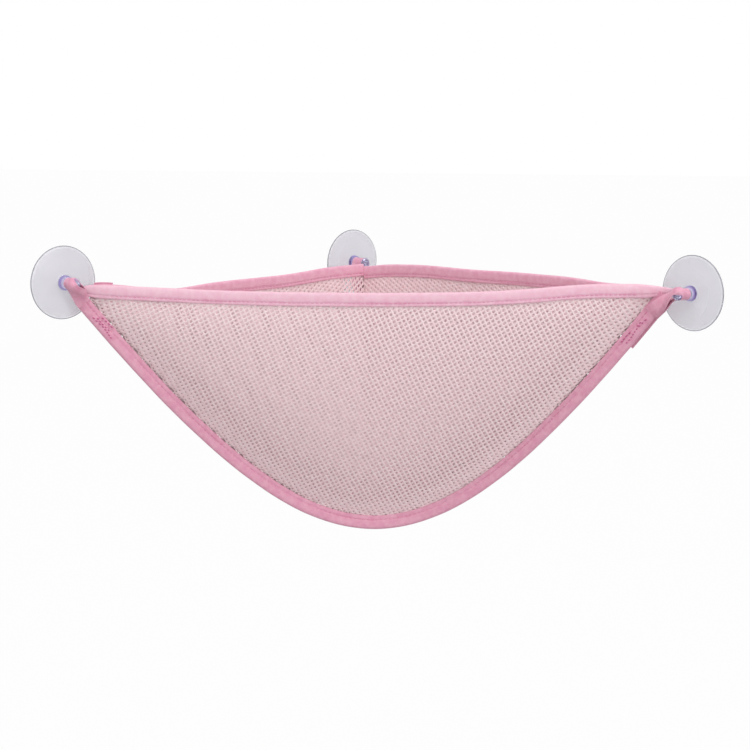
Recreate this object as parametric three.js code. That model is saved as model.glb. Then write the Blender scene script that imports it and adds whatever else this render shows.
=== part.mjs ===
// Corner bath toy organizer: a three-sided net bag with taped edges, hung from three
// suction cups on the two walls of a room corner.
// Millimetres, +Z up. The origin is on the line where the walls meet, at the height of the
// cup axes. +X runs to the right along the open front and +Y points into the corner.

import * as THREE from 'three';

// Walls and the places of the cups, from the corner line along the walls
const WALL_ANGLE = 90;
const LEFT_CUP_ALONG = 290;
const RIGHT_CUP_ALONG = 306;
const BACK_CUP_ALONG = 33;

// Suction cup, one moulding: sealing rim, disc, boss, neck and mushroom head
const CUP_DIAMETER = 50;
const RIM_WIDTH = 7;
const CUP_EDGE = 0.9;
const CUP_CROWN = 2.2;
const HOLLOW_DEPTH = 1.3;
const BOSS_DIAMETER = 10;
const BOSS_HEIGHT = 2.6;
const NECK_DIAMETER = 6.4;
const HEAD_DIAMETER = 9.2;
const HEAD_HEIGHT = 3;
const MOULD_FILLET = 0.6;
const CUP_SIDES = 36;

// Binding tape, folded lengthwise over the edges of the net
const TAPE_WIDTH = 10;
const TAPE_THICKNESS = 1;
const NET_THICKNESS = 0.8;
const TAPE_CLEARANCE = 0.3;
const SEAM_CLEARANCE = 0.3;
const SEAM_ALLOWANCE = 9;
const FOLD_STEPS = 4;

// Corner loops: tape turned round the cup necks and sewn at a narrow tip
const NECK_CLEARANCE = 0.35;
const TIP_BORE = 0.8;
const LEFT_LOOP_LENGTH = 11;
const RIGHT_LOOP_LENGTH = 14;
const BACK_LOOP_LENGTH = 18;
const LEFT_LOOP_DROP = 49;
const RIGHT_LOOP_DROP = 2;
const LEFT_TIP_CLEARANCE = 1.2;
const RIGHT_TIP_CLEARANCE = 1.9;
const BACK_TIP_CLEARANCE = 0.4;

// Bag outline
const CORNER_SETBACK = 6;
const LEFT_CORNER_RISE = 5;
const RIGHT_CORNER_RISE = 1;
const BACK_CORNER_ALONG = 40;
const BACK_CORNER_OFF = 22;
const BACK_CORNER_DROP = 1.5;
const FRONT_SAG = 5.7;
const LEFT_SAG = 4.5;
const RIGHT_SAG = -1.5;
const BAG_DROP = 165;
const BAG_SETBACK = 50;
const SEAM_ROUNDNESS = 0.8;
const SEAM_SKEW = 0.01;
const BACK_SEAM_AT = 0.5;
const FRONT_SWELL = 14;
const SIDE_SWELL = 7;
const BACK_SWELL = 34;
const BACK_SWELL_PITCH = 37;

// Ends of the hems, the back seam binding and the loop tails
const HEM_START = 9;
const LEAST_NET = 2;
const HEM_CORNER_GAP = 3;
const BACK_SEAM_END = 9;
const LEFT_TAIL_START = 1;
const LEFT_TAIL_LENGTH = 13;
const RIGHT_TAIL_START = 2;
const RIGHT_TAIL_LENGTH = 42;
const TAIL_STEP = 2.5;

// Openings of the net, far coarser than the knit, with bars between them
const OPENINGS_PER_SIDE = 6;
const OPENING_ROWS = 4;
const NET_BAR = 6;
const LEAST_OPENING = 8;

// Fineness of the turned, bent and sewn shapes
const PROFILE_STEPS = 4;
const LOOP_STEPS = 14;
const TAIL_COLUMNS = 4;

const UP = new THREE.Vector3(0, 0, 1);
const DOWN = new THREE.Vector3(0, 0, -1);
const DEGREE = Math.PI / 180;
const DIFFERENCE = 1e-4;

const tapePink = { color: 0xec9fbe, roughness: 0.85, metalness: 0 };
const netPink = { color: 0xebc8cd, roughness: 0.9, metalness: 0 };
const clearPvc = { color: 0xd3d1d9, roughness: 0.25, metalness: 0 };

// Walls: the way along each one from the corner line, and the way off it into the room
const half = (WALL_ANGLE / 2) * DEGREE;
const leftWall = {
  along: new THREE.Vector3(-Math.sin(half), -Math.cos(half), 0),
  off: new THREE.Vector3(Math.cos(half), -Math.sin(half), 0),
};
const rightWall = {
  along: new THREE.Vector3(Math.sin(half), -Math.cos(half), 0),
  off: new THREE.Vector3(-Math.cos(half), -Math.sin(half), 0),
};

function onWall(wall, along, off, height) {
  return new THREE.Vector3()
    .addScaledVector(wall.along, along)
    .addScaledVector(wall.off, off)
    .addScaledVector(UP, height);
}

function mix(a, b, share) {
  return a.clone().lerp(b, share);
}

function across(direction, tangent) {
  return direction.clone().addScaledVector(tangent, -direction.dot(tangent)).normalize();
}

// Suction cup, turned about its axis, with its flat sealing rim at height zero
const cupRadius = CUP_DIAMETER / 2;
const rimInner = cupRadius - RIM_WIDTH;
const bossRadius = BOSS_DIAMETER / 2;
const neckRadius = NECK_DIAMETER / 2;
const headRadius = HEAD_DIAMETER / 2;
const bossTop = CUP_CROWN + BOSS_HEIGHT;
const neckLength = TAPE_WIDTH + 2 * SEAM_CLEARANCE;
const headBase = bossTop + neckLength;

function cupProfile() {
  const profile = [];
  const point = (radius, height) => profile.push(new THREE.Vector2(radius, height));
  for (let i = 0; i < PROFILE_STEPS; i += 1) {
    const share = i / PROFILE_STEPS;
    point(rimInner * share, HOLLOW_DEPTH * (1 - share * share));
  }
  point(rimInner, 0);
  point(cupRadius, 0);
  for (let i = 0; i <= PROFILE_STEPS; i += 1) {
    const share = i / PROFILE_STEPS;
    const radius = cupRadius + (bossRadius + MOULD_FILLET - cupRadius) * share;
    point(radius, CUP_EDGE + (CUP_CROWN - CUP_EDGE) * share * (2 - share));
  }
  point(bossRadius, CUP_CROWN + MOULD_FILLET);
  point(bossRadius, bossTop);
  point(neckRadius, bossTop);
  point(neckRadius, headBase);
  point(headRadius - MOULD_FILLET, headBase);
  for (let i = 0; i <= PROFILE_STEPS; i += 1) {
    const turn = (i / PROFILE_STEPS) * Math.PI / 2;
    const rise = (HEAD_HEIGHT - MOULD_FILLET) * Math.sin(turn);
    point(headRadius * Math.cos(turn), headBase + MOULD_FILLET + rise);
  }
  profile[profile.length - 1].x = 0;
  return profile;
}

function suctionCup(name, wall, along) {
  const geometry = new THREE.LatheGeometry(cupProfile(), CUP_SIDES);
  const cup = part(name, geometry, clearPvc);
  cup.position.copy(onWall(wall, along, 0, 0));
  cup.quaternion.setFromUnitVectors(new THREE.Vector3(0, 1, 0), wall.off);
  return cup;
}

// Corner loop: a drop-shaped ring of tape round a neck, narrowing to its sewn tip
const loopNear = bossTop + SEAM_CLEARANCE;
const loopMiddle = loopNear + TAPE_WIDTH / 2;
const ringBore = neckRadius + NECK_CLEARANCE;
const tipRadius = TIP_BORE / 2 + TAPE_THICKNESS;

// The back loop leans so that its tip is over the seam at the back corner
const backLean = Math.asin((BACK_CORNER_ALONG - BACK_CUP_ALONG) / BACK_LOOP_LENGTH);
const backLoopDrop = (Math.PI / 2 + backLean) / DEGREE;

function dropOutline(path, wide, narrow, length) {
  const lean = Math.acos((wide - narrow) / length);
  path.absarc(0, 0, wide, lean, 2 * Math.PI - lean, false);
  path.absarc(length, 0, narrow, -lean, lean, false);
  path.closePath();
  return path;
}

function loopHang(wall, drop) {
  return new THREE.Vector3()
    .addScaledVector(wall.along, -Math.cos(drop * DEGREE))
    .addScaledVector(UP, -Math.sin(drop * DEGREE));
}

function cornerLoop(name, wall, along, length, drop) {
  const shape = dropOutline(new THREE.Shape(), ringBore + TAPE_THICKNESS, tipRadius, length);
  shape.holes.push(dropOutline(new THREE.Path(), ringBore, TIP_BORE / 2, length));
  const options = { depth: TAPE_WIDTH, bevelEnabled: false, curveSegments: LOOP_STEPS };
  const loop = part(name, new THREE.ExtrudeGeometry(shape, options), tapePink);
  const hang = loopHang(wall, drop);
  const side = new THREE.Vector3().crossVectors(wall.off, hang);
  const turn = new THREE.Matrix4().makeBasis(hang, side, wall.off);
  loop.quaternion.setFromRotationMatrix(turn);
  loop.position.copy(onWall(wall, along, loopNear, 0));
  return loop;
}

// Points just past the tips of the front loops, where the bottom seam's tape begins
const leftReach = LEFT_LOOP_LENGTH + tipRadius + LEFT_TIP_CLEARANCE;
const rightReach = RIGHT_LOOP_LENGTH + tipRadius + RIGHT_TIP_CLEARANCE;
const leftTapeEnd = onWall(leftWall, LEFT_CUP_ALONG, loopMiddle, 0)
  .addScaledVector(loopHang(leftWall, LEFT_LOOP_DROP), leftReach);
const rightTapeEnd = onWall(rightWall, RIGHT_CUP_ALONG, loopMiddle, 0)
  .addScaledVector(loopHang(rightWall, RIGHT_LOOP_DROP), rightReach);

// Bottom seam: a rounded V, set back under the bag as it drops
function seamDrop(w) {
  const side = 2 * w - 1;
  const place = side - SEAM_SKEW * (1 - side * side);
  const rim = Math.hypot(1, SEAM_ROUNDNESS);
  return (rim - Math.hypot(place, SEAM_ROUNDNESS)) / (rim - SEAM_ROUNDNESS);
}

function hangingCurve(from, to, w) {
  const drop = seamDrop(w);
  const point = mix(from, to, w);
  point.y += BAG_SETBACK * drop;
  point.z -= BAG_DROP * drop;
  return point;
}

// Corners of the bag: the tape's middle lines up with the loops, the seam is half a tape inside
function seamEnd(tapeEnd, w, inner) {
  const way = hangingCurve(leftTapeEnd, rightTapeEnd, inner);
  way.sub(hangingCurve(leftTapeEnd, rightTapeEnd, w)).normalize();
  return tapeEnd.clone().addScaledVector(across(UP, way), SEAM_ALLOWANCE / 2);
}

const leftCorner = seamEnd(leftTapeEnd, 0, DIFFERENCE);
const rightCorner = seamEnd(rightTapeEnd, 1, 1 - DIFFERENCE);
const backCorner = onWall(leftWall, BACK_CORNER_ALONG, BACK_CORNER_OFF, -BACK_CORNER_DROP);

function seam(w) {
  return hangingCurve(leftCorner, rightCorner, w);
}

// Hems: the top edges, starting above and a little inside the corners
function hemEnd(corner, towards, rise) {
  const way = towards.clone().sub(corner).setZ(0).normalize();
  return corner.clone().addScaledVector(way, CORNER_SETBACK).addScaledVector(UP, rise);
}

function sagging(from, to, sag, share) {
  return mix(from, to, share).addScaledVector(DOWN, 4 * sag * share * (1 - share));
}

const frontHemLeft = hemEnd(leftCorner, rightCorner, LEFT_CORNER_RISE);
const frontHemRight = hemEnd(rightCorner, leftCorner, RIGHT_CORNER_RISE);
const leftHemStart = hemEnd(leftCorner, backCorner, LEFT_CORNER_RISE);
const rightHemStart = hemEnd(rightCorner, backCorner, RIGHT_CORNER_RISE);

// Net panels. Each one hangs from its hem to the bottom seam and swells outwards;
// w runs along the bottom seam and v from the hem down to the seam.
const backSwell = new THREE.Vector3(
  0,
  BACK_SWELL * Math.cos(BACK_SWELL_PITCH * DEGREE),
  -BACK_SWELL * Math.sin(BACK_SWELL_PITCH * DEGREE),
);

function backPanelSwell(wall, share) {
  return backSwell
    .clone()
    .multiplyScalar(share * share)
    .addScaledVector(wall.off, -4 * SIDE_SWELL * share * (1 - share));
}

const frontPanel = {
  span: [0, 1],
  hem: (w) => sagging(frontHemLeft, frontHemRight, FRONT_SAG, w),
  swell: (w) => new THREE.Vector3(0, -4 * FRONT_SWELL * w * (1 - w), 0),
  outward: -1,
};
const leftPanel = {
  span: [0, BACK_SEAM_AT],
  hem: (w) => sagging(leftHemStart, backCorner, LEFT_SAG, w / BACK_SEAM_AT),
  swell: (w) => backPanelSwell(leftWall, w / BACK_SEAM_AT),
  outward: 1,
};
const rightPanel = {
  span: [BACK_SEAM_AT, 1],
  hem: (w) => sagging(rightHemStart, backCorner, RIGHT_SAG, (1 - w) / (1 - BACK_SEAM_AT)),
  swell: (w) => backPanelSwell(rightWall, (1 - w) / (1 - BACK_SEAM_AT)),
  outward: 1,
};

function panelPoint(panel, w, v) {
  return mix(panel.hem(w), seam(w), v).addScaledVector(panel.swell(w), 4 * v * (1 - v));
}

function alongSeam(panel, w, v) {
  const before = Math.max(panel.span[0], w - DIFFERENCE);
  const after = Math.min(panel.span[1], w + DIFFERENCE);
  return panelPoint(panel, after, v).sub(panelPoint(panel, before, v)).normalize();
}

function downPanel(panel, w, v) {
  const before = Math.max(0, v - DIFFERENCE);
  const after = Math.min(1, v + DIFFERENCE);
  return panelPoint(panel, w, after).sub(panelPoint(panel, w, before)).normalize();
}

function panelNormal(panel, w, v) {
  return alongSeam(panel, w, v)
    .cross(downPanel(panel, w, v))
    .normalize()
    .multiplyScalar(panel.outward);
}

// Bottom seam allowance: both panels turn outwards together between their two slopes
function seamFrame(w) {
  const back = w <= BACK_SEAM_AT ? leftPanel : rightPanel;
  const tangent = alongSeam(frontPanel, w, 1);
  const frontRise = across(downPanel(frontPanel, w, 1), tangent);
  const backRise = across(downPanel(back, w, 1), tangent);
  const out = frontRise.clone().add(backRise).normalize();
  const face = new THREE.Vector3().crossVectors(out, tangent).normalize();
  return { origin: seam(w), out, face };
}

// Back seam allowance: towards the left wall under the back loop, then square to the bag
function backSeamFrame(v) {
  const tangent = downPanel(leftPanel, BACK_SEAM_AT, v);
  const middle = panelNormal(leftPanel, BACK_SEAM_AT, v);
  middle.add(panelNormal(rightPanel, BACK_SEAM_AT, v)).normalize();
  const out = across(mix(leftWall.off.clone().negate(), middle, v), tangent);
  const face = new THREE.Vector3().crossVectors(tangent, out).normalize();
  if (face.dot(leftWall.along) < 0) {
    face.negate();
  }
  return { origin: panelPoint(leftPanel, BACK_SEAM_AT, v), out, face };
}

// Distances of the layers from the middle of a seam, and how far a hem reaches down
const netInner = SEAM_CLEARANCE / 2;
const netOuter = netInner + NET_THICKNESS;
const netMiddle = (netInner + netOuter) / 2;
const seamFold = netOuter + TAPE_CLEARANCE;
const hemFold = NET_THICKNESS / 2 + TAPE_CLEARANCE;
const legStart = netOuter + 2 * TAPE_CLEARANCE;
const hemLeg = TAPE_WIDTH - TAPE_THICKNESS - hemFold;

// Grid lines shared by everything sewn together: a bar, then an opening in two halves, and so on
function barsAndOpenings(from, to, bar) {
  const pitch = (to - from) / OPENINGS_PER_SIDE;
  const places = [];
  for (let i = 0; i < OPENINGS_PER_SIDE; i += 1) {
    const opening = from + i * pitch + bar;
    places.push(opening, opening + (pitch - bar) / 2, opening + pitch - bar);
  }
  return places;
}

function seamColumns() {
  const span = frontHemRight.distanceTo(frontHemLeft);
  const start = HEM_START / span;
  const bar = NET_BAR / span;
  const gapLeft = (HEM_CORNER_GAP / backCorner.distanceTo(leftHemStart)) * BACK_SEAM_AT;
  const gapRight = (HEM_CORNER_GAP / backCorner.distanceTo(rightHemStart)) * (1 - BACK_SEAM_AT);
  const leftSide = barsAndOpenings(start, BACK_SEAM_AT - gapLeft, bar);
  const rightSide = barsAndOpenings(1 - start, BACK_SEAM_AT + gapRight, -bar);
  return [0, start, ...leftSide, BACK_SEAM_AT, ...rightSide.reverse(), 1 - start, 1];
}

const columns = seamColumns();
const backColumn = columns.indexOf(BACK_SEAM_AT);
const backSeamLength = panelPoint(leftPanel, BACK_SEAM_AT, 0).distanceTo(seam(BACK_SEAM_AT));
const backTipDepth = BACK_LOOP_LENGTH * Math.sin(backLoopDrop * DEGREE) + tipRadius;
const backTopShare = hemToSeamShare(backSeamAt(backTipDepth + BACK_TIP_CLEARANCE));
const backEndShare = BACK_SEAM_END / backSeamLength;

// The place on the back seam, found by halving, where its outer edge has a given depth
function backSeamAt(depth) {
  let above = 0;
  let below = 1;
  while (below - above > DIFFERENCE) {
    const middle = (above + below) / 2;
    const frame = backSeamFrame(middle);
    if (frame.origin.addScaledVector(frame.out, SEAM_ALLOWANCE).z > -depth) {
      above = middle;
    } else {
      below = middle;
    }
  }
  return below;
}

function hemToSeamShare(v) {
  const hem = hemShare(leftPanel, BACK_SEAM_AT);
  return (v - hem) / (1 - hem);
}

function hemShare(panel, w) {
  return hemLeg / Math.max(panel.hem(w).distanceTo(seam(w)), hemLeg + LEAST_NET);
}

function panelRows(panel, w) {
  const hem = hemShare(panel, w);
  const bar = NET_BAR / backSeamLength;
  const pitch = (1 - backEndShare - backTopShare + bar) / OPENING_ROWS;
  const rows = [0, hem];
  for (let i = 0; i < OPENING_ROWS; i += 1) {
    const top = backTopShare + i * pitch;
    rows.push(hem + (1 - hem) * top, hem + (1 - hem) * (top + pitch - bar));
  }
  rows.push(1);
  return rows;
}

const backSeamRows = panelRows(leftPanel, BACK_SEAM_AT);
const backSeamFirst = 2;
const backSeamLast = backSeamRows.length - 2;

// True where a cell of a panel is an opening: not a bar, and tall enough there
function isOpening(panel, column, row) {
  const fromEnd = Math.min(column, columns.length - 2 - column);
  const inColumn = fromEnd >= 1 && fromEnd <= 3 * OPENINGS_PER_SIDE && (fromEnd - 1) % 3 > 0;
  const inRow = row >= backSeamFirst && row < backSeamLast && (row - backSeamFirst) % 2 === 0;
  if (!inColumn || !inRow) {
    return false;
  }
  return [columns[column], columns[column + 1]].every((w) => {
    const rows = panelRows(panel, w);
    const top = panelPoint(panel, w, rows[row]);
    return top.distanceTo(panelPoint(panel, w, rows[row + 1])) > LEAST_OPENING;
  });
}

function mitre(normal, face, distance) {
  return normal.clone().add(face).multiplyScalar(distance / (1 + normal.dot(face)));
}

// One face of a net panel: the panel itself, then its allowance past the bottom seam
function panelColumn(panel, w, distance) {
  const frame = seamFrame(w);
  const face = frame.face.clone().multiplyScalar(panel === frontPanel ? 1 : -1);
  const rows = panelRows(panel, w);
  const points = rows.map((v) => {
    const normal = panelNormal(panel, w, v);
    const shift = v < 1 ? normal.multiplyScalar(distance) : mitre(normal, face, distance);
    return panelPoint(panel, w, v).add(shift);
  });
  const edge = frame.origin.clone().addScaledVector(frame.out, SEAM_ALLOWANCE);
  points.push(edge.addScaledVector(face, distance));
  return points;
}

// The two grid lines of a back panel at the back seam: the fold, and the allowance's edge
function backFold(panel, distance) {
  const side = panel === leftPanel ? 1 : -1;
  const points = panelColumn(panel, BACK_SEAM_AT, distance);
  const bottom = backSeamRows.length - 1;
  return points.map((point, row) => {
    const frame = backSeamFrame(backSeamRows[Math.min(row, bottom)]);
    const face = frame.face.multiplyScalar(side);
    if (row >= bottom) {
      return point.addScaledVector(face, SEAM_CLEARANCE);
    }
    const normal = panelNormal(panel, BACK_SEAM_AT, backSeamRows[row]);
    return frame.origin.add(mitre(normal, face, distance));
  });
}

function backAllowance(panel, distance) {
  const side = panel === leftPanel ? 1 : -1;
  return [...backSeamRows, 1].map((v) => {
    const frame = backSeamFrame(v);
    return frame.origin
      .addScaledVector(frame.out, SEAM_ALLOWANCE)
      .addScaledVector(frame.face, side * distance);
  });
}

function backPanelGrid(panel, distance) {
  if (panel === leftPanel) {
    const grid = columns.slice(0, backColumn).map((w) => panelColumn(panel, w, distance));
    return [...grid, backFold(panel, distance), backAllowance(panel, distance)];
  }
  const grid = columns.slice(backColumn + 1).map((w) => panelColumn(panel, w, distance));
  return [backAllowance(panel, distance), backFold(panel, distance), ...grid];
}

function backPanelCells(panel) {
  const flapColumn = panel === leftPanel ? backColumn : 0;
  const before = panel === leftPanel ? 0 : backColumn - 1;
  return (i, j) => {
    if (i === flapColumn) {
      return j >= backSeamFirst && j < backSeamLast;
    }
    return !isOpening(panel, before + i, j);
  };
}

// Closed shell between two grids of points, on the cells that are kept
function shell(top, bottom, keep = () => true) {
  const positions = [];
  const index = [];
  const seen = new Map();
  const layers = [top, bottom];
  const wide = top.length - 1;
  const deep = top[0].length - 1;
  const kept = (i, j) => i >= 0 && j >= 0 && i < wide && j < deep && keep(i, j);
  const vertex = (layer, i, j) => {
    const key = `${layer} ${i} ${j}`;
    if (!seen.has(key)) {
      seen.set(key, positions.length / 3);
      positions.push(...layers[layer][i][j].toArray());
    }
    return seen.get(key);
  };
  const quad = (a, b, c, d) => index.push(a, b, c, a, c, d);
  const wall = (i, j, k, l) => quad(vertex(0, k, l), vertex(0, i, j), vertex(1, i, j), vertex(1, k, l));
  for (let i = 0; i < wide; i += 1) {
    for (let j = 0; j < deep; j += 1) {
      if (kept(i, j)) {
        quad(vertex(0, i, j), vertex(0, i + 1, j), vertex(0, i + 1, j + 1), vertex(0, i, j + 1));
        quad(vertex(1, i, j + 1), vertex(1, i + 1, j + 1), vertex(1, i + 1, j), vertex(1, i, j));
        if (!kept(i, j - 1)) wall(i, j, i + 1, j);
        if (!kept(i + 1, j)) wall(i + 1, j, i + 1, j + 1);
        if (!kept(i, j + 1)) wall(i + 1, j + 1, i, j + 1);
        if (!kept(i - 1, j)) wall(i, j + 1, i, j);
      }
    }
  }
  const geometry = new THREE.BufferGeometry();
  geometry.setAttribute('position', new THREE.Float32BufferAttribute(positions, 3));
  geometry.setIndex(facingOut(positions, index));
  geometry.computeVertexNormals();
  return geometry;
}

function facingOut(positions, index) {
  const corner = (k) => new THREE.Vector3().fromArray(positions, 3 * index[k]);
  let volume = 0;
  for (let k = 0; k < index.length; k += 3) {
    volume += corner(k).dot(corner(k + 1).cross(corner(k + 2)));
  }
  return volume > 0 ? index : index.reverse();
}

// Folded tape: two legs and a round fold about a middle plane, at one place along an edge
function foldedTape(leg, foldAt, radius) {
  const points = [leg(radius)];
  for (let i = 0; i <= FOLD_STEPS; i += 1) {
    const turn = (i / FOLD_STEPS) * Math.PI;
    points.push(foldAt(radius * Math.cos(turn), radius * Math.sin(turn)));
  }
  points.push(leg(-radius));
  return points;
}

function seamTape(frame, radius) {
  const at = (out, offset) => frame.origin
    .clone()
    .addScaledVector(frame.out, out)
    .addScaledVector(frame.face, offset);
  return foldedTape(
    (offset) => at(legStart, offset),
    (offset, past) => at(SEAM_ALLOWANCE + past, offset),
    radius,
  );
}

function hemTape(panel, w, radius) {
  const top = panelPoint(panel, w, 0);
  const normal = panelNormal(panel, w, 0);
  const rise = downPanel(panel, w, 0).negate();
  const foot = hemShare(panel, w);
  const footNormal = panelNormal(panel, w, foot);
  return foldedTape(
    (offset) => panelPoint(panel, w, foot).addScaledVector(footNormal, netMiddle + offset),
    (offset, past) => top
      .clone()
      .addScaledVector(normal, netMiddle + offset)
      .addScaledVector(rise, past),
    radius,
  );
}

function tapeShell(places, section, fold) {
  const outside = places.map((place) => section(place, fold + TAPE_THICKNESS));
  const inside = places.map((place) => section(place, fold));
  return shell(outside, inside);
}

function hemBinding(name, panel, places) {
  const geometry = tapeShell(places, (w, radius) => hemTape(panel, w, radius), hemFold);
  return part(name, geometry, tapePink);
}

// Loop tails: flat ends of tape sewn on behind the left back hem and the bottom seam
function tailPlaces(start, length) {
  const places = [];
  for (let i = 0; i <= TAIL_COLUMNS; i += 1) {
    places.push(start + length * (i / TAIL_COLUMNS));
  }
  return places;
}

function leftTail() {
  const span = backCorner.distanceTo(leftHemStart) / BACK_SEAM_AT;
  const places = tailPlaces(LEFT_TAIL_START / span, LEFT_TAIL_LENGTH / span);
  const near = netMiddle + hemFold + TAPE_THICKNESS + TAPE_CLEARANCE;
  const layer = (distance) => places.map((w) => {
    const foot = hemShare(leftPanel, w);
    const top = panelPoint(leftPanel, w, 0).addScaledVector(panelNormal(leftPanel, w, 0), distance);
    const low = panelPoint(leftPanel, w, foot);
    low.addScaledVector(panelNormal(leftPanel, w, foot), distance);
    const down = low.sub(top).normalize();
    return [-TAIL_STEP, TAPE_WIDTH - TAIL_STEP].map((depth) => top.clone().addScaledVector(down, depth));
  });
  const geometry = shell(layer(near + TAPE_THICKNESS), layer(near));
  return part('left_loop_tail', geometry, tapePink);
}

function rightTail() {
  const span = seam(1).distanceTo(seam(1 - DIFFERENCE)) / DIFFERENCE;
  const places = tailPlaces(1 - RIGHT_TAIL_START / span, -RIGHT_TAIL_LENGTH / span);
  const near = seamFold + TAPE_THICKNESS + TAPE_CLEARANCE;
  const layer = (distance) => places.map((w) => {
    const frame = seamFrame(w);
    const point = (out) => frame.origin
      .clone()
      .addScaledVector(frame.out, out)
      .addScaledVector(frame.face, -distance);
    return [point(TAIL_STEP), point(TAIL_STEP + TAPE_WIDTH)];
  });
  const geometry = shell(layer(near + TAPE_THICKNESS), layer(near));
  return part('right_loop_tail', geometry, tapePink);
}

function part(name, geometry, look) {
  const mesh = new THREE.Mesh(geometry, new THREE.MeshStandardMaterial(look));
  mesh.name = name;
  return mesh;
}

function frontNet() {
  const layer = (distance) => columns.map((w) => panelColumn(frontPanel, w, distance));
  const kept = (i, j) => !isOpening(frontPanel, i, j);
  return part('front_mesh_panel', shell(layer(netOuter), layer(netInner), kept), netPink);
}

function backNet(name, panel) {
  const outside = backPanelGrid(panel, netOuter);
  const inside = backPanelGrid(panel, netInner);
  return part(name, shell(outside, inside, backPanelCells(panel)), netPink);
}

function bottomBinding() {
  const geometry = tapeShell(columns.map(seamFrame), seamTape, seamFold);
  return part('bottom_seam_binding', geometry, tapePink);
}

function backBinding() {
  const places = backSeamRows.slice(backSeamFirst, backSeamLast + 1).map(backSeamFrame);
  return part('back_seam_binding', tapeShell(places, seamTape, seamFold), tapePink);
}

const organizer = new THREE.Group();
organizer.add(
  frontNet(),
  backNet('left_back_mesh_panel', leftPanel),
  backNet('right_back_mesh_panel', rightPanel),
  hemBinding('front_hem_binding', frontPanel, columns.slice(1, -1)),
  hemBinding('left_back_hem_binding', leftPanel, columns.slice(1, backColumn)),
  hemBinding('right_back_hem_binding', rightPanel, columns.slice(backColumn + 1, -1)),
  bottomBinding(),
  backBinding(),
  leftTail(),
  rightTail(),
  cornerLoop('left_corner_loop', leftWall, LEFT_CUP_ALONG, LEFT_LOOP_LENGTH, LEFT_LOOP_DROP),
  cornerLoop('right_corner_loop', rightWall, RIGHT_CUP_ALONG, RIGHT_LOOP_LENGTH, RIGHT_LOOP_DROP),
  cornerLoop('back_corner_loop', leftWall, BACK_CUP_ALONG, BACK_LOOP_LENGTH, backLoopDrop),
  suctionCup('left_suction_cup', leftWall, LEFT_CUP_ALONG),
  suctionCup('right_suction_cup', rightWall, RIGHT_CUP_ALONG),
  suctionCup('back_suction_cup', leftWall, BACK_CUP_ALONG),
);

export default organizer;
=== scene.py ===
import math

import bpy
import numpy as np
from mathutils import Matrix, Vector


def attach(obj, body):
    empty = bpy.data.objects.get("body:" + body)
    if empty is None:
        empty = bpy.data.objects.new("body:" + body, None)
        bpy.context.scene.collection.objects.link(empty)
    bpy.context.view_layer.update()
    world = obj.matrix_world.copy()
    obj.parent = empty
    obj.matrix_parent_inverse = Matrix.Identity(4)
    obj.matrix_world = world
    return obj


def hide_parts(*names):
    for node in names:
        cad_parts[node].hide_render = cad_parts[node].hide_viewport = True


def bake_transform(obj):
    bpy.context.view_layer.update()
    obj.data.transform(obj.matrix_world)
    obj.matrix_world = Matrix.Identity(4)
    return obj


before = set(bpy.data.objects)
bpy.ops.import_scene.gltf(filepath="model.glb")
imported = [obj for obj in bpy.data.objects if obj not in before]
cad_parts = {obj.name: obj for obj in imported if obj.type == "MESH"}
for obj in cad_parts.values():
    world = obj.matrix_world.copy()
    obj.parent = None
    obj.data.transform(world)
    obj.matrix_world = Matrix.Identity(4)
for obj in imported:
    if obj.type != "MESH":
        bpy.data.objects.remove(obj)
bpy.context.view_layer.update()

# Sizes of the solids, in millimetres, repeated from the model of the part
LEFT_CUP_ALONG, RIGHT_CUP_ALONG, BACK_CUP_ALONG = 290, 306, 33
CUP_RADIUS, RIM_WIDTH, CUP_EDGE, CUP_CROWN, HOLLOW_DEPTH = 25, 7, 0.9, 2.2, 1.3
BOSS_RADIUS, BOSS_HEIGHT, HEAD_HEIGHT = 5, 2.6, 3
TAPE_WIDTH, TAPE_THICKNESS = 10, 1
SEAM_ALLOWANCE = 9
LEFT_LOOP_LENGTH, RIGHT_LOOP_LENGTH, BACK_LOOP_LENGTH = 11, 14, 18
LEFT_LOOP_DROP, RIGHT_LOOP_DROP = 49, 2
LEFT_TIP_CLEARANCE, RIGHT_TIP_CLEARANCE = 1.2, 1.9
CORNER_SETBACK, LEFT_CORNER_RISE, RIGHT_CORNER_RISE = 6, 5, 1
BACK_CORNER_ALONG, BACK_CORNER_OFF, BACK_CORNER_DROP = 40, 22, 1.5
FRONT_SAG, LEFT_SAG, RIGHT_SAG = 5.7, 4.5, -1.5
BAG_DROP, BAG_SETBACK, SEAM_ROUNDNESS, SEAM_SKEW, BACK_SEAM_AT = 165, 50, 0.8, 0.01, 0.5
FRONT_SWELL, SIDE_SWELL, BACK_SWELL, BACK_SWELL_PITCH = 14, 7, 34, 37
LEFT_TAIL_START, LEFT_TAIL_LENGTH = 1, 13
RIGHT_TAIL_START, RIGHT_TAIL_LENGTH, TAIL_STEP = 2, 42, 2.5
BOSS_TOP = CUP_CROWN + BOSS_HEIGHT
LOOP_NEAR = BOSS_TOP + 0.3
LOOP_MIDDLE = LOOP_NEAR + TAPE_WIDTH / 2
HEAD_BASE = BOSS_TOP + TAPE_WIDTH + 0.6
TIP_RADIUS = 1.4
NET_MIDDLE = 0.55

# Drawn otherwise than the solids, after the photo: slimmer necks and heads, and hems with bumps, each
# given as its height in millimetres and its middle and width in shares of the hem
NECK_RADIUS, HEAD_RADIUS = 2.6, 3.9
FRONT_BUMPS = ((2.2, 0.89, 0.10),)
LEFT_BUMPS = ((-4.0, 0.25, 0.14), (1.8, 0.86, 0.14))
RIGHT_BUMPS = ((-1.9, 0.12, 0.10), (1.4, 0.78, 0.13), (-1.6, 1.0, 0.06))

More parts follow.
